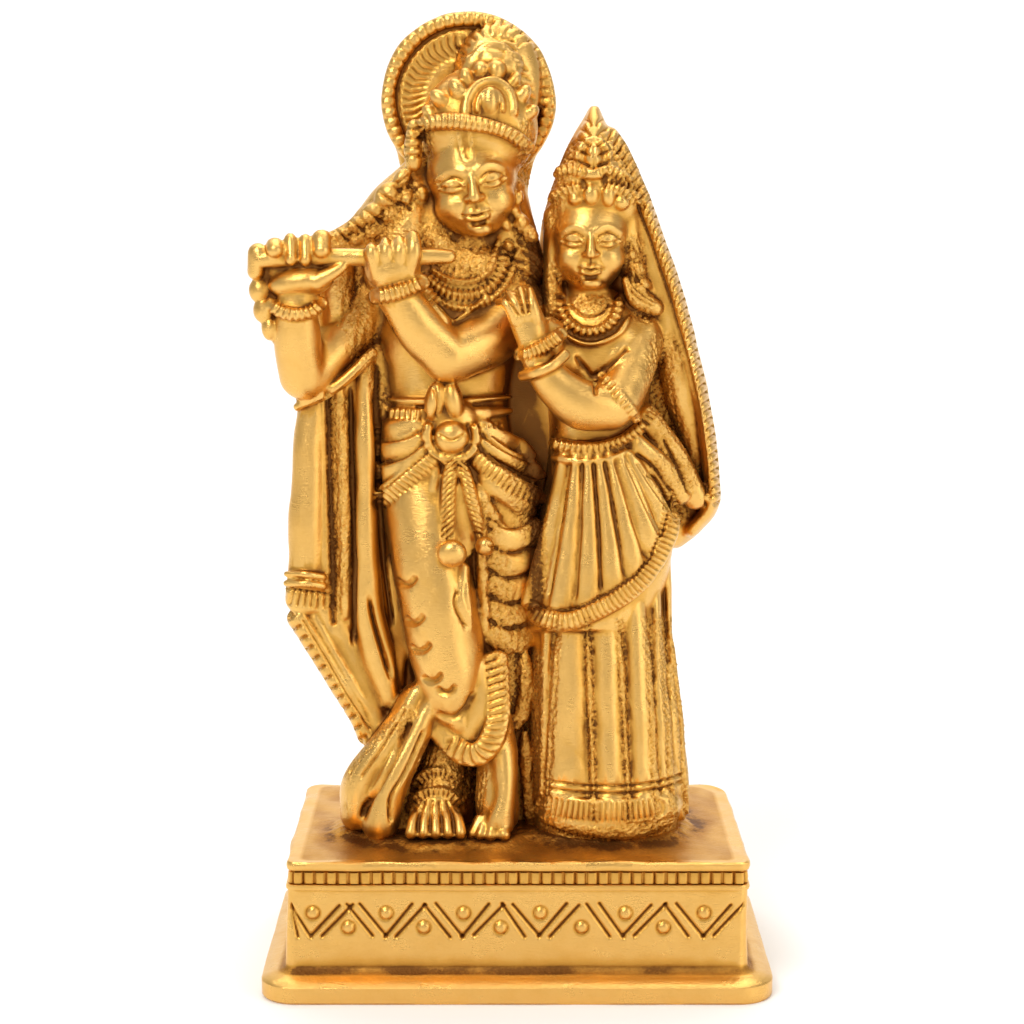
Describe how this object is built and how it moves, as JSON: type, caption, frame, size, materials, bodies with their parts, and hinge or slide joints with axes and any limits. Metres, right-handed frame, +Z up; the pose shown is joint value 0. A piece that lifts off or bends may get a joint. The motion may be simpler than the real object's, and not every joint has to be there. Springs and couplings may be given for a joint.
{
  "type": "radha krishna statue",
  "caption": "Polished brass statue of a flute player with halo and a veiled companion, cast in one with a stepped plinth; a shelf or altar ornament.",
  "frame": {"origin": "centre of the plinth's flat underside", "axes": "+Z up, +X to the right of someone facing the statue, +Y away from them towards its back"},
  "size_m": [0.0813, 0.052, 0.1516],
  "materials": {
    "brass": "hand-polished, with dark patina and sandy cast texture in the recesses"
  },
  "bodies": {
    "root": {"radha_krishna_statue": "brass"}
  },
  "joints": []
}
